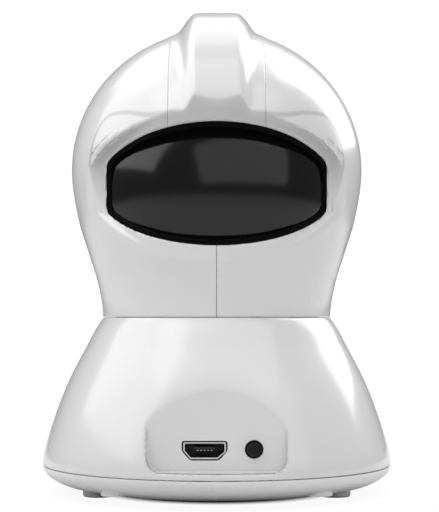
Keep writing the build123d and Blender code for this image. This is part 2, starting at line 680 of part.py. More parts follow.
def rim_pocket():
    """What the rim takes off the head at the back: an oval with a face that looks straight back."""
    with BuildPart() as oval:
        with BuildSketch(back(10)):
            with BuildLine():
                EllipticalCenterArc((0, RIM_Z), RIM_HALF_WIDTH, RIM_RISE, arc_size=180)
                EllipticalCenterArc((0, RIM_Z), RIM_HALF_WIDTH, RIM_DROP, start_angle=180, arc_size=180)
            make_face()
        extrude(amount=40)
    return oval.part & beyond_rim_face(0)


def both_ends(part):
    """A part at the back of the head and its mirror image at the front."""
    return part + mirror(part, about=Plane.XZ)


def crest_sector():
    """The strip over the top of the head: a section with hollow flanks, turned about X."""
    top_z, foot_z, root_z = CREST_Z + CREST_R, CREST_Z + CREST_FOOT_R, CREST_Z + CREST_ROOT_R
    flank_x, flank_z = CREST_TOP_HALF + CREST_FLANK[0], top_z - CREST_FLANK[1]
    with BuildPart() as sector:
        with BuildSketch(Plane.XZ) as section:
            with BuildLine():
                Line((-CREST_TOP_HALF, top_z), (CREST_TOP_HALF, top_z))
                ThreePointArc(
                    (CREST_TOP_HALF, top_z),
                    (flank_x, flank_z),
                    (CREST_FOOT_HALF, foot_z),
                )
                Polyline(
                    (CREST_FOOT_HALF, foot_z),
                    (CREST_FOOT_HALF, root_z),
                    (-CREST_FOOT_HALF, root_z),
                    (-CREST_FOOT_HALF, foot_z),
                )
                ThreePointArc(
                    (-CREST_FOOT_HALF, foot_z),
                    (-flank_x, flank_z),
                    (-CREST_TOP_HALF, top_z),
                )
            make_face()
            fillet(section.vertices().group_by(Axis.Y)[-1], CREST_SHOULDER_R)
        revolve(axis=Axis((0, 0, CREST_Z), (1, 0, 0)))
        split(bisect_by=Plane.XY.offset(CREST_BOTTOM_Z), keep=Keep.TOP)
    return sector.part


def eye_solid(inset):
    """The eyeball's outside drawn in by inset: a ball cut flat at its two pivots."""
    with BuildPart() as ball:
        with Locations((0, 0, EYE_Z)):
            Sphere(EYE_R - inset)
            Box(2 * (EYE_HALF_WIDTH - inset), 3 * EYE_R, 3 * EYE_R, mode=Mode.INTERSECT)
    return ball.part


def along_x(radius, start_x, end_x):
    """A cylinder on the tilt axis."""
    with BuildPart() as rod:
        with BuildSketch(side(start_x)):
            with Locations((0, EYE_Z)):
                Circle(radius)
        extrude(amount=end_x - start_x)
    return rod.part


EYE_ROOM = eye_solid(-GAP)
HEAD_OUTSIDE = head_solid(0)
WINDOW_ROOM = both_ends(window_block(0, WINDOW_Y, 32))
WINDOW_SURROUND = both_ends(window_block(3.0, 12, 30))
CAVITY = head_solid(HEAD_WALL) - WINDOW_SURROUND
CREST_SECTOR = crest_sector()
RIM_POCKETS = both_ends(rim_pocket())
BEYOND_RIM_FACES = both_ends(beyond_rim_face(0))

with BuildPart() as crest_channel:
    with BuildSketch(side(-CREST_TOP_HALF + CREST_WALL)):
        with Locations((0, CREST_Z)):
            Circle(CREST_R - HEAD_WALL)
    extrude(amount=2 * (CREST_TOP_HALF - CREST_WALL))
    split(bisect_by=Plane.XY.offset(CREST_Z + 10), keep=Keep.TOP)
crest = CREST_SECTOR - crest_channel.part - BEYOND_RIM_FACES - WINDOW_ROOM
save(crest, "crest")

PIVOT_X = EYE_HALF_WIDTH + GAP
PIVOT_BOSS_R, PIVOT_BOSS_X, PIVOT_BOSS_END_X = 5.2, PIVOT_X + 0.35, 28.0
BUSH_R, BUSH_FLANGE_R, TRUNNION_R, TILT_SHAFT_R = 3.9, 4.8, 3.0, 1.5
SHAFT_END_X, BORE_START_X = 26.0, 20.0
HEAD_BOSS_R, HEAD_BOSS_TOP_Z = 2.3, 40.6
HEAD_PILOT_R, HEAD_PILOT_TOP_Z = 0.85, 39.9
left_pivot_boss = along_x(PIVOT_BOSS_R, -PIVOT_BOSS_END_X, -PIVOT_BOSS_X) & HEAD_OUTSIDE
right_pivot_boss = along_x(PIVOT_BOSS_R, PIVOT_BOSS_X, PIVOT_BOSS_END_X) & HEAD_OUTSIDE
bush_bore = along_x(BUSH_R, -SHAFT_END_X, -BORE_START_X)
shaft_bore = along_x(TILT_SHAFT_R, BORE_START_X, SHAFT_END_X)

with BuildPart() as head_shell:
    add(HEAD_OUTSIDE)
    add(CAVITY, mode=Mode.SUBTRACT)
    with BuildSketch(Plane.XY.offset(PLATE_TOP_Z)):
        with HEAD_SCREW_SPOTS:
            Circle(HEAD_BOSS_R)
    extrude(amount=HEAD_BOSS_TOP_Z - PLATE_TOP_Z)
    with BuildSketch(Plane.XY.offset(HEAD_Z)):
        with PolarLocations(20.0, 4, start_angle=45):
            Rectangle(3.6, 2.0)  # web from the boss to the wall
    extrude(amount=HEAD_BOSS_TOP_Z - HEAD_Z)
    with BuildSketch(Plane.XY.offset(PLATE_TOP_Z)):
        with HEAD_SCREW_SPOTS:
            Circle(HEAD_PILOT_R)
    extrude(amount=HEAD_PILOT_TOP_Z - PLATE_TOP_Z, mode=Mode.SUBTRACT)
    add([left_pivot_boss, right_pivot_boss])
    add([bush_bore, shaft_bore], mode=Mode.SUBTRACT)
    add(EYE_ROOM, mode=Mode.SUBTRACT)
    add(RIM_POCKETS, mode=Mode.SUBTRACT)
    add(WINDOW_ROOM, mode=Mode.SUBTRACT)
    add(CREST_SECTOR, mode=Mode.SUBTRACT)

for name, keep in (("head_shell_left", Keep.TOP), ("head_shell_right", Keep.BOTTOM)):
    with BuildPart() as half:
        add(head_shell.part)
        split(bisect_by=Plane.YZ, keep=keep)
    save(half.part, name)

BEZEL_SINK = 0.4  # the bezel's face is this far inside the rim's
bezel_ring = window_block(0, 12, 30) - window_block(-BEZEL_WIDTH, WINDOW_Y, 40)
rear_bezel = (bezel_ring - EYE_ROOM - beyond_rim_face(BEZEL_SINK)) & HEAD_OUTSIDE
save(rear_bezel, "rear_bezel")
save(mirror(rear_bezel, about=Plane.XZ), "front_bezel")

VISOR_R, VISOR_T = 27.0, 1.2
visor_shell = Pos(0, 0, EYE_Z) * (Sphere(VISOR_R) - Sphere(VISOR_R - VISOR_T))
save(visor_shell & window_block(-BEZEL_WIDTH, WINDOW_Y, 32), "rear_visor")

SHAFT_START_X = 12.0
bush = along_x(BUSH_R, -SHAFT_END_X, -PIVOT_X) + along_x(BUSH_FLANGE_R, -PIVOT_BOSS_X, -PIVOT_X)
save(bush - along_x(TRUNNION_R + RUN, -PIVOT_BOSS_END_X, -BORE_START_X), "tilt_bush")
save(along_x(TILT_SHAFT_R, SHAFT_START_X, SHAFT_END_X), "tilt_motor_shaft")

# ---------------------------------------------------------------- eyeball and camera
EYE_INSIDE = eye_solid(EYE_WALL)
SHELL_BALL = eye_solid(0) - EYE_INSIDE
FLAT_INSIDE_X = EYE_HALF_WIDTH - EYE_WALL


def front(y):
    """Upright plane at depth y that faces the lens side; it extrudes towards -Y."""
    return Plane((0, y, 0), x_dir=(1, 0, 0), z_dir=(0, -1, 0))


def along_y(radius, start_y, end_y):
    """A cylinder on the lens axis, from start_y forwards to end_y."""
    with BuildPart() as rod:
        with BuildSketch(front(start_y)):
            with Locations((0, EYE_Z)):
                Circle(radius)
        extrude(amount=start_y - end_y)
    return rod.part


SHAFT_ROOM = along_x(TILT_SHAFT_R + RUN, SHAFT_START_X, PIVOT_BOSS_END_X)
TRUNNION_ROOM = along_x(TRUNNION_R, -PIVOT_BOSS_END_X, -SHAFT_START_X)
LENS_OPENING = along_y(LENS_WINDOW_R, -15, -30)
eye_shell = SHELL_BALL - TRUNNION_ROOM - SHAFT_ROOM - LENS_OPENING
for name, keep in (("eye_rear", Keep.BOTTOM), ("eye_front", Keep.TOP)):
    with BuildPart() as half:
        add(eye_shell)
        split(bisect_by=Plane.XZ, keep=keep)
    save(half.part, name)

LENS_WINDOW_T = 1.2
lens_window = (eye_solid(0) - eye_solid(LENS_WINDOW_T)) & LENS_OPENING
save(lens_window, "lens_window")

TRUNNION_FLANGE_R, TRUNNION_FLANGE_T, WIRE_BORE_R = 5.5, 1.2, 1.4
trunnion_pin = along_x(TRUNNION_R, -SHAFT_END_X + 0.4, -FLAT_INSIDE_X)
trunnion_flange = along_x(TRUNNION_FLANGE_R, -FLAT_INSIDE_X, -FLAT_INSIDE_X + TRUNNION_FLANGE_T)
wire_bore = along_x(WIRE_BORE_R, -PIVOT_BOSS_END_X, -SHAFT_START_X)
save(trunnion_pin + trunnion_flange - wire_bore, "tilt_trunnion")

TILT_MOTOR_R, TILT_MOTOR_BACK_X = 7.5, 8.0
tilt_can = along_x(TILT_MOTOR_R, TILT_MOTOR_BACK_X, FLAT_INSIDE_X)
tilt_can = chamfer(tilt_can.faces().sort_by(Axis.X)[0].edges(), 0.6)
save(tilt_can - SHAFT_ROOM, "tilt_motor")

BRACKET_Y, BRACKET_T, BRACKET_R = -7.7, 1.5, 20.8
SENSOR_SCREW_PITCH, SENSOR_SCREW_R, SENSOR_SCREW_HEAD_T = 18.5, 0.8, 0.9
SENSOR_BOARD_SIZE, SENSOR_BOARD_T = 22.0, 1.0
SENSOR_Y = BRACKET_Y - BRACKET_T
HOLDER_Y = SENSOR_Y - SENSOR_BOARD_T
with BuildPart() as camera_bracket:
    with BuildSketch(front(BRACKET_Y)):
        with Locations((0, EYE_Z)):
            Circle(BRACKET_R)
            Rectangle(2 * FLAT_INSIDE_X - 0.2, 3 * BRACKET_R, mode=Mode.INTERSECT)
            with GridLocations(0, 30, 1, 2):
                SlotOverall(12, 4, mode=Mode.SUBTRACT)
            with GridLocations(SENSOR_SCREW_PITCH, SENSOR_SCREW_PITCH, 2, 2):
                Circle(SENSOR_SCREW_R, mode=Mode.SUBTRACT)
    extrude(amount=BRACKET_T)
save(camera_bracket.part, "camera_bracket")

with BuildPart() as sensor_board:
    with BuildSketch(front(SENSOR_Y)):
        with Locations((0, EYE_Z)):
            RectangleRounded(SENSOR_BOARD_SIZE, SENSOR_BOARD_SIZE, 1.5)
            with GridLocations(SENSOR_SCREW_PITCH, SENSOR_SCREW_PITCH, 2, 2):
                Circle(SENSOR_SCREW_R + 0.1, mode=Mode.SUBTRACT)
    extrude(amount=SENSOR_BOARD_T)
save(sensor_board.part, "sensor_board")

sensor_screw = Rot(-90, 0, 0) * screw(1.4, SENSOR_SCREW_HEAD_T, SENSOR_SCREW_R, 2.2)
CORNERS = [(x * SENSOR_SCREW_PITCH / 2, z * SENSOR_SCREW_PITCH / 2) for x in (-1, 1) for z in (-1, 1)]
screws = [Pos(x, HOLDER_Y - SENSOR_SCREW_HEAD_T, EYE_Z + z) * sensor_screw for x, z in CORNERS]
save(Compound(children=screws), "sensor_screws")

BARREL_R, BARREL_NOSE_R, BARREL_STEP_Y, BARREL_TIP_Y = 5.55, 5.0, -18.4, -22.2
BARREL_BACK_Y = HOLDER_Y - 2.0
HOLDER_SIZE, HOLDER_FOOT_T, HOLDER_TUBE_R, HOLDER_LENGTH = 14.0, 2.2, 6.8, 6.6
SENSOR_POCKET, SENSOR_POCKET_DEPTH = (7.6, 6.6), 1.1
with BuildPart() as lens_holder:
    with BuildSketch(front(HOLDER_Y)):
        with Locations((0, EYE_Z)):
            RectangleRounded(HOLDER_SIZE, HOLDER_SIZE, 1.0)
    extrude(amount=HOLDER_FOOT_T)
    with BuildSketch(front(HOLDER_Y)):
        with Locations((0, EYE_Z)):
            Circle(HOLDER_TUBE_R)
    extrude(amount=HOLDER_LENGTH)
    with BuildSketch(front(HOLDER_Y)):
        with Locations((0, EYE_Z)):
            Rectangle(*SENSOR_POCKET)
    extrude(amount=SENSOR_POCKET_DEPTH, mode=Mode.SUBTRACT)
    with BuildSketch(front(HOLDER_Y - 1.0)):
        with Locations((0, EYE_Z)):
            Circle(BARREL_R + 0.05)
    extrude(amount=HOLDER_LENGTH, mode=Mode.SUBTRACT)
save(lens_holder.part, "lens_holder")

with BuildPart() as image_sensor:
    with Locations((0, HOLDER_Y, EYE_Z)):
        Box(7.0, 0.9, 6.0, align=(Align.CENTER, Align.MAX, Align.CENTER))
save(image_sensor.part, "image_sensor")

LIGHT_BORE_R, LENS_SEAT_R, LENS_SEAT_Y = 2.6, 3.6, -20.6
barrel = along_y(BARREL_R, BARREL_BACK_Y, BARREL_STEP_Y) + along_y(BARREL_NOSE_R, BARREL_BACK_Y, BARREL_TIP_Y)
barrel = chamfer(barrel.faces().sort_by(Axis.Y)[0].edges(), 0.5)
light_bore = along_y(LIGHT_BORE_R, HOLDER_Y, BARREL_TIP_Y)
lens_seat = along_y(LENS_SEAT_R, LENS_SEAT_Y, BARREL_TIP_Y - 1)
save(barrel - light_bore - lens_seat, "lens_barrel")

LENS_CURVE_R, LENS_CURVE_Y = 8.3, -14.0  # the front glass is a disc with a domed face
lens_dome = Pos(0, LENS_CURVE_Y, EYE_Z) * Sphere(LENS_CURVE_R)
lens_disc = along_y(LENS_SEAT_R - 0.05, LENS_SEAT_Y - 0.1, BARREL_TIP_Y - 1)
save(lens_disc & lens_dome, "front_lens_element")

FILTER_Y, FILTER_T = HOLDER_Y - 2.2, 1.0
save(along_y(LIGHT_BORE_R - 0.05, FILTER_Y, FILTER_Y - FILTER_T), "infrared_filter")

IR_BOARD_Y, IR_BOARD_T, IR_BOARD_R = -17.4, 1.0, 13.0
with BuildPart() as ir_board:
    with BuildSketch(front(IR_BOARD_Y)):
        with Locations((0, EYE_Z)):
            Circle(IR_BOARD_R)
            Circle(HOLDER_TUBE_R + 0.1, mode=Mode.SUBTRACT)
    extrude(amount=IR_BOARD_T)
save(ir_board.part, "ir_board")

LED_R, LED_HEIGHT = 1.25, 2.0
with BuildPart() as led:
    with BuildSketch(front(IR_BOARD_Y - IR_BOARD_T)):
        Circle(LED_R)
    extrude(amount=LED_HEIGHT)
    fillet(led.faces().sort_by(Axis.Y)[0].edges(), 0.8)
LED_ANGLES = [2 * pi * (i + 0.5) / LED_COUNT for i in range(LED_COUNT)]
leds = [Pos(LED_RING_R * cos(a), 0, EYE_Z + LED_RING_R * sin(a)) * led.part for a in LED_ANGLES]
save(Compound(children=leds), "ir_leds")

with BuildPart() as light_sensor:
    with Locations((0, IR_BOARD_Y - IR_BOARD_T, EYE_Z - LED_RING_R)):
        Box(1.8, 0.9, 1.4, align=(Align.CENTER, Align.MAX, Align.CENTER))
save(light_sensor.part, "light_sensor")
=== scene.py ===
"""Looks of the baby monitor camera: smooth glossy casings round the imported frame, and a white studio.

Lengths are in millimetres, apart from the floor's size, the lights and the camera, which are in metres.
"""

import json
from math import cos, pi, radians, sin, tan

import bmesh
import bpy
import numpy as np
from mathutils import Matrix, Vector


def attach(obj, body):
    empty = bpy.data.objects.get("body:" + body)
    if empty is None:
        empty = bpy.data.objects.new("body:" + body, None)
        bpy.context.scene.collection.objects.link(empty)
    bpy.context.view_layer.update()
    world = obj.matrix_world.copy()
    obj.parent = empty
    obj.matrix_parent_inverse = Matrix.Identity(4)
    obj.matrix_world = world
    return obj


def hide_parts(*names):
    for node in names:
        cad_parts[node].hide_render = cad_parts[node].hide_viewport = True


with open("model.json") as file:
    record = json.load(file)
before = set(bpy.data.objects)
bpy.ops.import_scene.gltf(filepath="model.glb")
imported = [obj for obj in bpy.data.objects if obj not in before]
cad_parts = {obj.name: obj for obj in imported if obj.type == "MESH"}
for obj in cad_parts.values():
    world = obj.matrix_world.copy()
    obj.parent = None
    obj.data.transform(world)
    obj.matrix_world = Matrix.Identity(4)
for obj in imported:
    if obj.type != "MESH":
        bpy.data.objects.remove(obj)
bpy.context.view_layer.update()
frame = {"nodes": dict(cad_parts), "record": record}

MM = 0.001

# ---------------------------------------------------------------- materials
PAINTED_SHADE_FACTOR = 0.72  # how much darker the colour is painted where shade is painted into a casing
RELIEF_DEPTH = 0.02
LOOKS = {}  # every material made below, by its name in the record


def shader(name, **values):
    """A new material with one Principled shader, its plain values set on its own sockets."""
    material = bpy.data.materials.new(name)
    material.use_nodes = True
    principled = material.node_tree.nodes["Principled BSDF"]
    for socket, value in values.items():
        principled.inputs[socket.replace("_", " ")].default_value = value
    return material, material.node_tree, principled


def mottle(material, tree, principled, colour, spread, size, roughness, rough_spread, bump, bump_size):
    """Slow colour and roughness variation with a fine moulded texture, all in the object's own space, and
    painted shade where a mesh marks it.
    """
    link = tree.links.new
    place = tree.nodes.new("ShaderNodeTexCoord")
    slow = tree.nodes.new("ShaderNodeTexNoise")
    slow.inputs["Scale"].default_value = 1 / (size * MM)
    slow.inputs["Detail"].default_value = 3.0
    link(place.outputs["Object"], slow.inputs["Vector"])

    tone = tree.nodes.new("ShaderNodeValToRGB")
    tone.color_ramp.elements[0].position = 0.3
    tone.color_ramp.elements[1].position = 0.7
    tone.color_ramp.elements[0].color = (*[c * (1 - spread) for c in colour], 1)
    tone.color_ramp.elements[1].color = (*[min(c * (1 + spread), 1) for c in colour], 1)
    link(slow.outputs["Fac"], tone.inputs["Fac"])

    # Painted shade: the colour is mixed towards a darker copy where the mesh's painted-shade attribute is one.
    satin = tree.nodes.new("ShaderNodeAttribute")
    satin.attribute_name = "satin"
    painted_shade_mix = tree.nodes.new("ShaderNodeMix")
    painted_shade_mix.data_type = "RGBA"
    painted_shade_mix.inputs["B"].default_value = (*[c * PAINTED_SHADE_FACTOR for c in colour], 1)
    link(satin.outputs["Fac"], painted_shade_mix.inputs["Factor"])
    link(tone.outputs["Color"], painted_shade_mix.inputs["A"])
    link(painted_shade_mix.outputs["Result"], principled.inputs["Base Color"])

    polish = tree.nodes.new("ShaderNodeMapRange")
    polish.inputs["To Min"].default_value = roughness - rough_spread
    polish.inputs["To Max"].default_value = roughness + rough_spread
    link(slow.outputs["Fac"], polish.inputs["Value"])
    link(polish.outputs["Result"], principled.inputs["Roughness"])

    fine = tree.nodes.new("ShaderNodeTexNoise")
    fine.inputs["Scale"].default_value = 1 / (bump_size * MM)
    fine.inputs["Detail"].default_value = 2.0
    link(place.outputs["Object"], fine.inputs["Vector"])
    relief = tree.nodes.new("ShaderNodeBump")
    relief.inputs["Strength"].default_value = bump
    relief.inputs["Distance"].default_value = RELIEF_DEPTH * MM
    link(fine.outputs["Fac"], relief.inputs["Height"])
    link(relief.outputs["Normal"], principled.inputs["Normal"])
    return material


def plastic(name, colour, roughness=0.4, coat=0.0, spread=0.03, bump=0.15, bump_size=0.3, specular=0.5):
    """Adds a look of moulded plastic or rubber."""
    made = shader(name, Coat_Weight=coat, Coat_Roughness=0.11, Specular_IOR_Level=specular)
    LOOKS[name] = mottle(
        *made, colour, spread, size=9.0, roughness=roughness, rough_spread=0.03, bump=bump, bump_size=bump_size,
    )


def metal(name, colour, roughness=0.28):
    """Adds a look of plated or turned metal, slightly uneven."""
    made = shader(name, Metallic=1.0)
    LOOKS[name] = mottle(
        *made, colour, spread=0.06, size=1.2, roughness=roughness, rough_spread=0.06, bump=0.2, bump_size=0.15,
    )


def glass(name, colour, roughness, transmission, ior):
    """Adds a look of tinted glass or clear resin."""
    made = shader(name, Transmission_Weight=transmission, IOR=ior)
    LOOKS[name] = mottle(
        *made, colour, spread=0.04, size=6.0, roughness=roughness, rough_spread=0.01, bump=0.02, bump_size=0.8,
    )


WHITE = (0.82, 0.82, 0.825)
COVER_WHITE = (0.90, 0.90, 0.905)
plastic("white_casing", WHITE, 0.26, coat=0.7, spread=0.006, bump=0.02, bump_size=0.9)
plastic("white_crest", WHITE, 0.26, coat=0.7, spread=0.006, bump=0.02, bump_size=0.9)
plastic("white_cover", COVER_WHITE, 0.28, coat=0.5, spread=0.01, bump=0.03, bump_size=0.9)
plastic("bezel_black", (0.002, 0.002, 0.002), 0.5, spread=0.05, bump=0.05, bump_size=0.4, specular=0.05)
plastic("visor_black", (0.005, 0.005, 0.006), 0.15, spread=0.05, bump=0.005, bump_size=2.0)
plastic("eye_black", (0.010, 0.010, 0.011), 0.05, coat=1.0, spread=0.05, bump=0.01, bump_size=2.0)
plastic("foot_rubber", (0.88, 0.88, 0.87), 0.7, spread=0.05, bump=0.4, bump_size=0.25)
plastic("button_black", (0.005, 0.005, 0.005), 0.4, spread=0.1, bump=0.3, bump_size=0.2, specular=0.25)
plastic("black_plastic", (0.01, 0.01, 0.01), 0.45, spread=0.1, bump=0.3, bump_size=0.25)
plastic("cream_plastic", (0.72, 0.68, 0.56), 0.4)
plastic("gear_plastic", (0.74, 0.74, 0.71), 0.35)
plastic("washer_plastic", (0.85, 0.84, 0.8), 0.3)
plastic("chip_resin", (0.025, 0.025, 0.028), 0.55, spread=0.15, bump=0.4, bump_size=0.12)
plastic("cone_film", (0.05, 0.05, 0.055), 0.5)
plastic("wire_sleeve", (0.03, 0.03, 0.035), 0.5)
plastic("circuit_board", (0.01, 0.14, 0.05), 0.3, coat=0.3, spread=0.25, bump=0.2, bump_size=0.3)
glass("led_resin", (0.32, 0.28, 0.4), 0.08, transmission=0.6, ior=1.5)
glass("smoked_window", (0.02, 0.02, 0.022), 0.03, transmission=0.25, ior=1.49)
glass("lens_glass", (0.45, 0.5, 0.85), 0.02, transmission=0.8, ior=1.6)
glass("filter_glass", (0.7, 0.3, 0.35), 0.04, transmission=0.7, ior=1.5)
metal("screw_steel", (0.55, 0.55, 0.56))
metal("socket_steel", (0.66, 0.66, 0.67), 0.22)
metal("motor_metal", (0.58, 0.58, 0.59), 0.32)
metal("magnet_metal", (0.45, 0.45, 0.46), 0.35)
metal("shield_metal", (0.62, 0.62, 0.61), 0.35)
metal("heat_sink_metal", (0.5, 0.51, 0.53), 0.4)
metal("gold_contacts", (0.85, 0.62, 0.25), 0.25)

for subpart in frame["record"]["subparts"]:
    node = frame["nodes"][subpart["node"]]
    node.data.materials.clear()
    node.data.materials.append(LOOKS[subpart["material_slot"]])

# ---------------------------------------------------------------- casings as distance fields
# A field is a function of x, y and z arrays, in millimetres: negative inside the solid, zero on its surface.
# A factor near the end of a field keeps it close to a true distance, where its surface slopes.
# Profiles are (radius, height, slope) points, and the rim's face has its points at distances from the middle.
HEAD_PROFILE = [
    (23.4, 35.95, 0.0), (24.4, 42.6, 0.23), (26.4, 49.1, 0.31), (28.4, 55.7, 0.21), (29.8, 65.8, 0.0),
]
DOME_Z, DOME_R, DOME_RISE = 65.8, 29.8, 28.8
CREST_Z, CREST_R = 68.0, 30.0  # centre and radius of the crest's arc
CREST_TOP_HALF, CREST_FOOT_HALF, CREST_FOOT_R = 5.4, 9.3, 25.2
CREST_SHOULDER = 1.6  # width over which the top rounds into the flank
CREST_HOLLOW = 1.8  # power of the flank's curve, 1 for a flat flank
CREST_SINK = 4.0  # how steeply the crest falls under the dome outside its foot
CREST_SPREAD = 13.0  # half-width beyond which the crest has sunk under the dome
CREST_FLOOR_Z = 71.0  # lowest point of the crest, at the window's edge
EYE_Z = 61.4
WINDOW_Z, WINDOW_HALF_WIDTH = EYE_Z - 0.35, 21.5
WINDOW_OVAL_X, WINDOW_OVAL_Z = 23.5, 11.6
WINDOW_FLOOR_Y = 16.0
RIM_HALF_WIDTH, RIM_Z, RIM_RISE, RIM_DROP, RIM_LEAN = 24.8, 63.0, 11.7, 15.0, 0.09
RIM_FACE = [
    (28.7, 0, 0.0), (25.9, 12, -0.42), (20.8, 19, -0.85),
    (18.6, 21.5, -0.65), (17.2, 24.8, -0.24), (16.4, 32, -0.05),
]
RIM_CRISP, RIM_SOFT = 0.35, 1.3  # rounding of the rim over the window, and how much more it has below it
SOFT_FROM_Z, SOFT_OVER = RIM_Z + 4, 8
# The shade painted on the rim's face fades in upwards from this height over this width.
PAINTED_SHADE_FROM_Z, PAINTED_SHADE_OVER = RIM_Z - 6, 8
BASE_PROFILE = [
    (35.6, 6.2, 0.0), (35.0, 9.8, -0.27), (32.9, 16.4, -0.36),
    (30.3, 22.9, -0.46), (26.9, 29.5, -0.55), (23.4, 35.6, -0.75),
]
SEAM_Z, COVER_GAP = 5.6, 0.05
BASE_TOP_Z, NECK_Z = 35.76, 35.84
PANEL_Y, PANEL_HALF_WIDTH, PANEL_CORNER_R = 30.4, 13.05, 2.6
PANEL_FLOOR_Z, PANEL_TOP_Z = 6.9, 26.9

# Widths over which one surface rounds into the next.
WINDOW_CORNER_BLEND, WINDOW_EDGE_BLEND = 0.8, 0.4
CREST_FLANK_BLEND, CREST_FLOOR_BLEND, FACE_BLEND = 0.8, 0.2, 0.25
BASE_EDGE_BLEND, PANEL_FLOOR_BLEND, PANEL_EDGE_BLEND = 0.4, 0.3, 0.35
BEZEL_BLEND, BEZEL_EDGE_BLEND = 0.3, 0.4


def soft_max(a, b, blend):
    """The larger of two distances, rounded over where they are closer than blend."""
    return np.maximum(a, b) + np.maximum(blend - np.abs(a - b), 0) ** 2 / (4 * blend)


def soft_min(a, b, blend):
    return -soft_max(-a, -b, blend)


def smooth_radius(profile, z):
    """Radius at each height on a smooth curve through (radius, height, slope) points."""
    radii, heights, slopes = np.array(profile).T
    at = np.clip(z, heights[0], heights[-1])
    i = np.clip(np.searchsorted(heights, at) - 1, 0, len(heights) - 2)
    span = heights[i + 1] - heights[i]
    t = (at - heights[i]) / span
    ends = radii[i] * (1 + 2 * t) * (1 - t) ** 2 + radii[i + 1] * t**2 * (3 - 2 * t)
    return ends + span * t * (1 - t) * (slopes[i] * (1 - t) - slopes[i + 1] * t)


def window_field(x, z):
    """Distance from the window's outline: an oval cut off by upright ends."""
    across, up = x / WINDOW_OVAL_X, (z - WINDOW_Z) / WINDOW_OVAL_Z
    reach = np.hypot(across, up)
    oval = reach * (reach - 1) / np.hypot(across / WINDOW_OVAL_X, up / WINDOW_OVAL_Z).clip(1e-4)
    return soft_max(oval, np.abs(x) - WINDOW_HALF_WIDTH, WINDOW_CORNER_BLEND)


def rim_face_field(x, y, z):
    """Distance in front of the rim's face, which follows the window round the head."""
    lean = RIM_LEAN * (RIM_Z + RIM_RISE - z)
    return (np.abs(y) - smooth_radius(RIM_FACE, np.abs(x)) + lean) * 0.8


def rim_field(x, z):
    """Distance from the rim's outline: half an ellipse over its widest points and half a deeper one below."""
    height = np.where(z > RIM_Z, RIM_RISE, RIM_DROP)
    return (np.hypot(x / RIM_HALF_WIDTH, (z - RIM_Z) / height) - 1) * RIM_RISE


def crest_field(x, y, z):
    """The strip over the head: a flat top with hollow flanks, turned about a line along X."""
    flank = soft_max(np.abs(x) - CREST_TOP_HALF, 0, CREST_SHOULDER) / (CREST_FOOT_HALF - CREST_TOP_HALF)
    hollow = (CREST_R - CREST_FOOT_R) * (1 - np.maximum(1 - flank, 0) ** CREST_HOLLOW)
    return (np.hypot(y, z - CREST_Z) - CREST_R + hollow + CREST_SINK * np.maximum(flank - 1, 0)) * 0.7


def head_field(x, y, z):
    """Dome, neck and crest, less the rim's pockets, the crest's ends and the two windows."""
    radius = np.hypot(x, y)
    neck = (radius - smooth_radius(HEAD_PROFILE, z)) * 0.95
    dome = (np.hypot(radius / DOME_R, (z - DOME_Z) / DOME_RISE) - 1) * DOME_RISE
    body = np.where(z > DOME_Z, dome, neck)
    crest = soft_max(crest_field(x, y, z), CREST_FLOOR_Z - z, CREST_FLOOR_BLEND)
    solid = soft_min(body, np.maximum(crest, np.abs(x) - CREST_SPREAD), CREST_FLANK_BLEND)
    crest_end = np.maximum(np.abs(x) - CREST_FOOT_HALF, CREST_FLOOR_Z - z)
    faced = soft_max(np.minimum(rim_field(x, z), crest_end), -rim_face_field(x, y, z), FACE_BLEND)
    rounding = RIM_CRISP + RIM_SOFT * np.clip((SOFT_FROM_Z - z) / SOFT_OVER, 0, 1)
    solid = soft_max(solid, -faced, rounding)
    window = np.maximum(window_field(x, z), WINDOW_FLOOR_Y - np.abs(y))
    return soft_max(solid, -window, WINDOW_EDGE_BLEND)


def panel_outline(x, z):
    """Distance from the outline of the connector face: a rectangle with rounded corners."""
    middle = (PANEL_TOP_Z + PANEL_FLOOR_Z) / 2
    over_x = np.abs(x) - PANEL_HALF_WIDTH + PANEL_CORNER_R
    over_z = np.abs(z - middle) - (PANEL_TOP_Z - PANEL_FLOOR_Z) / 2 + PANEL_CORNER_R
    outside = np.hypot(np.maximum(over_x, 0), np.maximum(over_z, 0)) - PANEL_CORNER_R
    return outside + np.minimum(np.maximum(over_x, over_z), 0)


def base_field(x, y, z):
    """The flared base down to the cover's seam, less the room in front of the connector face."""
    flare = (np.hypot(x, y) - smooth_radius(BASE_PROFILE, z)) * 0.92
    topped = soft_max(flare, z - BASE_TOP_Z, BASE_EDGE_BLEND)
    solid = soft_max(topped, SEAM_Z + COVER_GAP - z, BASE_EDGE_BLEND)
    recess = soft_max(panel_outline(x, z), PANEL_Y - y, PANEL_FLOOR_BLEND)
    return soft_max(solid, -recess, PANEL_EDGE_BLEND)


def slope(field, points, step=0.02):
    """The field's gradient at each point, by central differences."""
    columns = [field(*(points + s).T) - field(*(points - s).T) for s in np.eye(3) * step]
    return np.stack(columns, axis=1) / (2 * step)


def project(field, points, cell, rounds):
    """Moves the points onto the field's zero surface, in short steps."""
    for _ in range(rounds):
        along = slope(field, points)
        step = field(*points.T) / np.maximum((along**2).sum(axis=1), 0.25)
        points -= np.clip(step, -cell / 2, cell / 2)[:, None] * along


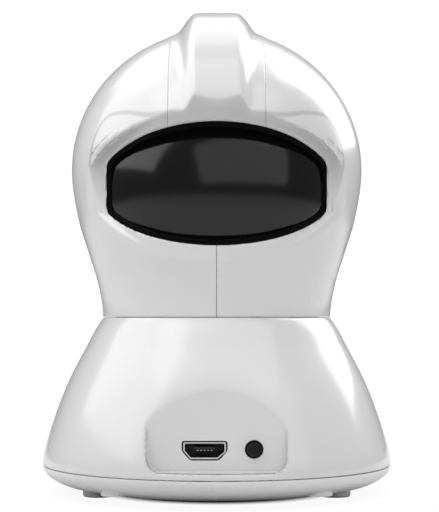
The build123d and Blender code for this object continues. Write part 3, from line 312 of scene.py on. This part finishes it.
def skin(field, low, high, cell):
    """Points and four-sided faces on a field's zero surface: one point a grid cell, evened out along it.

    A cell has a point where some of its corners are inside, and a face joins the four cells round each grid
    edge that crosses the surface.
    """
    axes = [np.arange(a, b + cell, cell) for a, b in zip(low, high)]
    inside = field(*np.meshgrid(*axes, indexing="ij")) < 0
    shape = np.array(inside.shape) - 1
    corners = sum(
        inside[i : shape[0] + i, j : shape[1] + j, k : shape[2] + k].astype(int)
        for i in (0, 1) for j in (0, 1) for k in (0, 1)
    )
    crossed = (corners > 0) & (corners < 8)
    number = np.full(crossed.shape, -1)
    number[crossed] = np.arange(crossed.sum())
    points = np.array(low) + (np.argwhere(crossed) + 0.5) * cell

    faces = []
    for turn in ((0, 1, 2), (1, 2, 0), (2, 0, 1)):
        solid, cells = inside.transpose(turn), number.transpose(turn)
        i, j, k = np.nonzero(solid[:-1, 1:-1, 1:-1] != solid[1:, 1:-1, 1:-1])
        around = [cells[i, j, k], cells[i, j + 1, k], cells[i, j + 1, k + 1], cells[i, j, k + 1]]
        quads = np.stack(around, axis=1)
        outwards = solid[i, j + 1, k + 1]
        faces.append(np.where(outwards[:, None], quads, quads[:, ::-1]))
    faces = np.concatenate(faces)

    ends = np.concatenate([faces, np.roll(faces, 1, axis=1)])
    others = np.concatenate([np.roll(faces, 1, axis=1), faces])
    links = np.bincount(ends.ravel(), minlength=len(points))
    project(field, points, cell, 4)
    for _ in range(3):
        sums = [np.bincount(ends.ravel(), points[others.ravel(), axis], len(points)) for axis in range(3)]
        points += 0.5 * (np.stack(sums, axis=1) / links[:, None] - points)
        project(field, points, cell, 2)
    project(field, points, cell, 4)
    return points, faces


def sheet(field, low, high, cell):
    """The same surface as an editable mesh, in metres."""
    points, faces = skin(field, low, high, cell)
    mesh = bpy.data.meshes.new("skin")
    mesh.from_pydata((points * MM).tolist(), [], faces.tolist())
    editable = bmesh.new()
    editable.from_mesh(mesh)
    bpy.data.meshes.remove(mesh)
    return editable


def cut(editable, place, normal):
    """Cuts every face on a plane, so that pieces can part there along a clean line."""
    bmesh.ops.bisect_plane(
        editable, geom=editable.verts[:] + editable.edges[:] + editable.faces[:],
        plane_co=Vector(place) * MM, plane_no=normal, dist=1e-7,
    )


def piece(name, editable, belongs, wall, look, body, satin=None):
    """A casing made of the faces whose centres belong to it, given its wall inwards, riding on a body, with
    painted shade where a mask gives it.
    """
    part = editable.copy()
    spare = [f for f in part.faces if not belongs(*(f.calc_center_median() / MM))]
    bmesh.ops.delete(part, geom=spare, context="FACES")
    mesh = bpy.data.meshes.new(name)
    part.to_mesh(mesh)
    part.free()
    mesh.shade_smooth()
    mesh.set_sharp_from_angle(angle=radians(CASING_SHARP))
    # Painted shade: a mask kept on the points, where the colour is darkened to stand in for shade.
    if satin:
        places = np.array([v.co for v in mesh.vertices]) / MM
        mesh.attributes.new("satin", "FLOAT", "POINT").data.foreach_set("value", satin(*places.T))
    made = bpy.data.objects.new(name, mesh)
    bpy.context.collection.objects.link(made)
    if wall:
        thickness = made.modifiers.new("wall", "SOLIDIFY")
        thickness.thickness = wall * MM
    made.data.materials.append(LOOKS[look])
    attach(made, body)
    return made


CELL, BEZEL_CELL = 0.41, 0.35
HEAD_BOX = (-31, -30.5, 34), (31, 30.5, 99)  # the low and high corners of the space that a grid covers
BASE_BOX = (-37, -37, 4), (37, 37, 38)
BEZEL_BOX_X, BEZEL_BOX_Y, BEZEL_BOX_Z = (-22.5, 22.5), (11.0, 30.0), (48.5, 74.5)
CASING_SHARP, HOLE_SHARP = 60, 40  # degrees over which an edge is shaded as sharp
SEAM_HALF = 0.045
CASING_WALL = 1.4
BEZEL_WIDTH, BEZEL_SINK, BEZEL_OVERLAP = 1.1, 0.3, 0.02
BEZEL_ROOM_R, CASING_ROOM_R = 24.8, 25.3  # the eyeball turns inside these
BASE_MOUTH_R = 21.6  # the base is open inside this, under the neck

head = sheet(head_field, *HEAD_BOX, CELL)
cut(head, (0, 0, NECK_Z), (0, 0, 1))
for side in (-1, 1):
    cut(head, (side * SEAM_HALF, 0, 0), (1, 0, 0))
    cut(head, (side * (CREST_FOOT_HALF - SEAM_HALF), 0, 0), (1, 0, 0))
    cut(head, (side * (CREST_FOOT_HALF + SEAM_HALF), 0, 0), (1, 0, 0))


def on_head(x, y, z):
    """True on the head's outside, not on the window's blind floor, in the neck or in the eyeball's room."""
    blind = abs(y) < WINDOW_FLOOR_Y + 0.4 and abs(x) < WINDOW_HALF_WIDTH and window_field(x, z) < 0.2
    in_eye_room = x * x + y * y + (z - EYE_Z) ** 2 < CASING_ROOM_R**2
    return z > NECK_Z and not blind and not in_eye_room


def on_crest(x, y, z):
    return z > CREST_FLOOR_Z and abs(x) < CREST_FOOT_HALF - SEAM_HALF and on_head(x, y, z)


def on_shell(side):
    """A test for the faces of one half of the head, left (-1) or right (1)."""
    def belongs(x, y, z):
        inner_edge = CREST_FOOT_HALF + SEAM_HALF if z > CREST_FLOOR_Z else SEAM_HALF
        return side * x > inner_edge and on_head(x, y, z)
    return belongs


def close_to(distance, reach, fade):
    """One on a surface, falling to zero at this reach from it, over this width."""
    return np.clip((reach - np.abs(distance)) / fade, 0, 1)


def painted_shade_on_rim_face(x, y, z):
    """One where shade is painted on the face of the rim and of the crest's ends, fading to zero beside and
    below it.
    """
    above = np.clip((z - PAINTED_SHADE_FROM_Z) / PAINTED_SHADE_OVER, 0, 1)
    return above * close_to(rim_face_field(x, y, z), reach=0.255, fade=0.15)


def painted_shade_on_panel_wall(x, y, z):
    """One where shade is painted on the walls round the connector face, fading to zero beside them."""
    in_front = np.clip((y - PANEL_Y) / PANEL_FLOOR_BLEND, 0, 1)
    return in_front * close_to(panel_outline(x, z), reach=0.216, fade=0.12)


def bezel_field(x, y, z):
    """The black frame inside the rear window, between the eyeball and the rim."""
    outline = window_field(x, z)
    ring = soft_max(outline - BEZEL_OVERLAP, -BEZEL_WIDTH - outline, BEZEL_BLEND)
    eye_room = BEZEL_ROOM_R - np.sqrt(x**2 + y**2 + (z - EYE_Z) ** 2)
    depth = soft_max(rim_face_field(x, y, z) + BEZEL_SINK, eye_room, BEZEL_BLEND)
    return soft_max(ring, depth, BEZEL_EDGE_BLEND)


crest = piece("crest_casing", head, on_crest, CASING_WALL, "white_crest", "head", painted_shade_on_rim_face)
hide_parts("crest")
for name, side in (("left", -1), ("right", 1)):
    shell = piece(f"{name}_casing", head, on_shell(side), CASING_WALL, "white_casing", "head", painted_shade_on_rim_face)
    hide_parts(f"head_shell_{name}")
head.free()

for end, side in (("rear", 1), ("front", -1)):
    low, high = zip(BEZEL_BOX_X, sorted(side * y for y in BEZEL_BOX_Y), BEZEL_BOX_Z)
    frame_ring = sheet(bezel_field, low, high, BEZEL_CELL)
    bezel = piece(f"{end}_frame", frame_ring, lambda x, y, z: True, 0, "bezel_black", "head")
    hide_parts(f"{end}_bezel")
    frame_ring.free()


def on_base(x, y, z):
    """True on the base's outside, not on the mouth that the neck covers."""
    return z < BASE_TOP_Z - 0.3 or x * x + y * y > BASE_MOUTH_R**2


base = sheet(base_field, *BASE_BOX, CELL)
base_casing = piece("base_casing", base, on_base, CASING_WALL, "white_casing", "base", painted_shade_on_panel_wall)
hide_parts("base_shell")
base.free()


def punch(casing, outlines, low_y, high_y):
    """Cuts holes of these outlines, each given as (x, z) points, through a casing along Y."""
    editable = bmesh.new()
    for outline in outlines:
        rings = [[editable.verts.new(Vector((x, y, z)) * MM) for x, z in outline] for y in (low_y, high_y)]
        for i in range(len(outline)):
            editable.faces.new([rings[0][i - 1], rings[0][i], rings[1][i], rings[1][i - 1]])
        for ring in rings:
            editable.faces.new(ring)
    bmesh.ops.recalc_face_normals(editable, faces=editable.faces[:])
    mesh = bpy.data.meshes.new("hole")
    editable.to_mesh(mesh)
    editable.free()
    cutter = bpy.data.objects.new("hole", mesh)
    bpy.context.collection.objects.link(cutter)
    hole = casing.modifiers.new("hole", "BOOLEAN")
    hole.object = cutter
    hole.solver = "EXACT"
    baked = bpy.data.meshes.new_from_object(casing.evaluated_get(bpy.context.evaluated_depsgraph_get()))
    casing.modifiers.clear()
    casing.data = baked
    baked.set_sharp_from_angle(angle=radians(HOLE_SHARP))
    bpy.data.objects.remove(cutter)


def rounded(points, radius, steps=5):
    """The outline with each corner replaced by a short curve that starts and ends a radius from it."""
    smooth = []
    for i, corner in enumerate(points):
        corner = Vector(corner)
        before = (Vector(points[i - 1]) - corner).normalized() * radius
        after = (Vector(points[(i + 1) % len(points)]) - corner).normalized() * radius
        for step in range(steps + 1):
            t = step / steps
            smooth.append(tuple(corner + before * (1 - t) ** 2 + after * t**2))
    return smooth


USB_X, USB_Z, USB_HALF_WIDTH, USB_HALF_HEIGHT = 2.26, 10.85, 4.3, 1.85
USB_SIDE, USB_TAPER, USB_CORNER_R = 1.9, 1.6, 0.6  # upright side, what each slanted side takes in, corners
BUTTON_X, BUTTON_Z, BUTTON_HOLE_R = -6.98, 11.1, 1.75

side_foot_z = USB_HALF_HEIGHT - USB_SIDE
floor_half = USB_HALF_WIDTH - USB_TAPER
usb_outline = [
    (-USB_HALF_WIDTH, USB_HALF_HEIGHT), (USB_HALF_WIDTH, USB_HALF_HEIGHT), (USB_HALF_WIDTH, side_foot_z),
    (floor_half, -USB_HALF_HEIGHT), (-floor_half, -USB_HALF_HEIGHT), (-USB_HALF_WIDTH, side_foot_z),
]
usb_mouth = [(USB_X + x, USB_Z + z) for x, z in rounded(usb_outline, USB_CORNER_R)]
turns = [2 * pi * i / 48 for i in range(48)]
button_hole = [(BUTTON_X + BUTTON_HOLE_R * cos(a), BUTTON_Z + BUTTON_HOLE_R * sin(a)) for a in turns]
punch(base_casing, [usb_mouth, button_hole], PANEL_Y - 4, PANEL_Y + 3)

# ---------------------------------------------------------------- studio
FLOOR_HALF = 6.0  # metres
CONTACT_START, CONTACT_END = 19.5, 25.5  # the painted shadow under the base fades out over these distances
CONTACT_TONE = 0.01
# Painted soft shade round the base: ambient occlusion over this reach, mapped to these tones.
SHADE_REACH, SHADE_LOW, SHADE_HIGH, SHADE_TONE = 24.0, 0.15, 0.55, 0.94
FLOOR_TONE, ROOM_TONE, ROOM_STRENGTH, BACKDROP_STRENGTH = 0.62, 0.9, 0.19, 1.1


def camera_switch(tree, other, seen, surface):
    """Sends one shader to the camera and another to every other ray."""
    path = tree.nodes.new("ShaderNodeLightPath")
    choose = tree.nodes.new("ShaderNodeMixShader")
    tree.links.new(path.outputs["Is Camera Ray"], choose.inputs["Fac"])
    tree.links.new(other, choose.inputs[1])
    tree.links.new(seen, choose.inputs[2])
    tree.links.new(choose.outputs["Shader"], surface)


def floor_material():
    """A white floor to the camera, with a soft shadow painted under the base, and a pale one to the lights."""
    material, tree, pale = shader("floor", Base_Color=(*[FLOOR_TONE] * 3, 1), Roughness=0.8)
    link = tree.links.new
    place = tree.nodes.new("ShaderNodeTexCoord")
    reach = tree.nodes.new("ShaderNodeVectorMath")
    reach.operation = "LENGTH"
    link(place.outputs["Object"], reach.inputs[0])
    # Painted shadow: dark near the middle, fading to white past the base's edge.
    painted_contact_shadow = tree.nodes.new("ShaderNodeMapRange")
    painted_contact_shadow.interpolation_type = "SMOOTHSTEP"
    painted_contact_shadow.inputs["From Min"].default_value = CONTACT_START * MM
    painted_contact_shadow.inputs["From Max"].default_value = CONTACT_END * MM
    painted_contact_shadow.inputs["To Min"].default_value = CONTACT_TONE
    link(reach.outputs["Value"], painted_contact_shadow.inputs["Value"])

    # Painted soft shade from ambient occlusion, multiplied into the painted shadow.
    shade = tree.nodes.new("ShaderNodeAmbientOcclusion")
    shade.samples = 24
    shade.inputs["Distance"].default_value = SHADE_REACH * MM
    soft = tree.nodes.new("ShaderNodeMapRange")
    soft.inputs["From Min"].default_value = SHADE_LOW
    soft.inputs["From Max"].default_value = SHADE_HIGH
    soft.inputs["To Min"].default_value = SHADE_TONE
    link(shade.outputs["AO"], soft.inputs["Value"])

    both = tree.nodes.new("ShaderNodeMath")
    both.operation = "MULTIPLY"
    link(painted_contact_shadow.outputs["Result"], both.inputs[0])
    link(soft.outputs["Result"], both.inputs[1])
    white = tree.nodes.new("ShaderNodeEmission")
    link(both.outputs["Value"], white.inputs["Strength"])
    surface = tree.nodes["Material Output"].inputs["Surface"]
    camera_switch(tree, pale.outputs["BSDF"], white.outputs["Emission"], surface)
    return material


floor_mesh = bpy.data.meshes.new("floor")
corners = [(x * FLOOR_HALF, y * FLOOR_HALF, 0) for x, y in ((-1, -1), (1, -1), (1, 1), (-1, 1))]
floor_mesh.from_pydata(corners, [], [(0, 1, 2, 3)])
floor = bpy.data.objects.new("floor", floor_mesh)
bpy.context.collection.objects.link(floor)
floor.data.materials.append(floor_material())

world = bpy.data.worlds.new("studio")
bpy.context.scene.world = world
world.use_nodes = True
room = world.node_tree.nodes["Background"]
room.inputs["Color"].default_value = (*[ROOM_TONE] * 3, 1)
room.inputs["Strength"].default_value = ROOM_STRENGTH
backdrop = world.node_tree.nodes.new("ShaderNodeBackground")
backdrop.inputs["Color"].default_value = (1, 1, 1, 1)
backdrop.inputs["Strength"].default_value = BACKDROP_STRENGTH
sky = world.node_tree.nodes["World Output"].inputs["Surface"]
camera_switch(world.node_tree, room.outputs["Background"], backdrop.outputs["Background"], sky)

AIM = (0, 0, 0.05)
LIGHT_DISTANCE = 0.6


def softbox(name, azimuth, elevation, width, height, radiance):
    """A rectangular light aimed at the object, its size given as the angles that it fills, in degrees."""
    data = bpy.data.lights.new(name, "AREA")
    data.shape = "RECTANGLE"
    data.size = 2 * LIGHT_DISTANCE * tan(radians(width / 2))
    data.size_y = 2 * LIGHT_DISTANCE * tan(radians(height / 2))
    data.energy = radiance * pi * data.size * data.size_y
    light = bpy.data.objects.new(name, data)
    turn, rise = radians(azimuth), radians(elevation)
    away = Vector((sin(turn) * cos(rise), cos(turn) * cos(rise), sin(rise)))
    light.location = Vector(AIM) + LIGHT_DISTANCE * away
    light.rotation_euler = (-away).to_track_quat("-Z", "Y").to_euler()
    bpy.context.collection.objects.link(light)


softbox("key_left", 84, 42, 60, 52, 1.8)
softbox("front_right", -24, 25, 76, 40, 0.72)
softbox("front_top", 0, 62, 80, 30, 1.2)
softbox("back_right", -130, 38, 36, 50, 3.2)
softbox("top_back", 180, 66, 80, 44, 1.2)

# ---------------------------------------------------------------- camera
CAMERA_DISTANCE, CAMERA_HEIGHT = 0.310, 0.0356
FOCAL_LENGTH, SENSOR_HEIGHT = 105.469, 36.0  # in millimetres
SHIFT_ACROSS, SHIFT_UP = 0.00547, 0.1211  # parts of the sensor's height
camera_data = bpy.data.cameras.new("camera")
camera_data.sensor_fit = "VERTICAL"
camera_data.sensor_height = SENSOR_HEIGHT
camera_data.lens = FOCAL_LENGTH
camera_data.shift_x = SHIFT_ACROSS
camera_data.shift_y = SHIFT_UP
camera = bpy.data.objects.new("camera", camera_data)
camera.location = (0, CAMERA_DISTANCE, CAMERA_HEIGHT)
camera.rotation_euler = (radians(90), 0, radians(180))
bpy.context.collection.objects.link(camera)
bpy.context.scene.camera = camera
bpy.context.scene.view_settings.view_transform = "Standard"
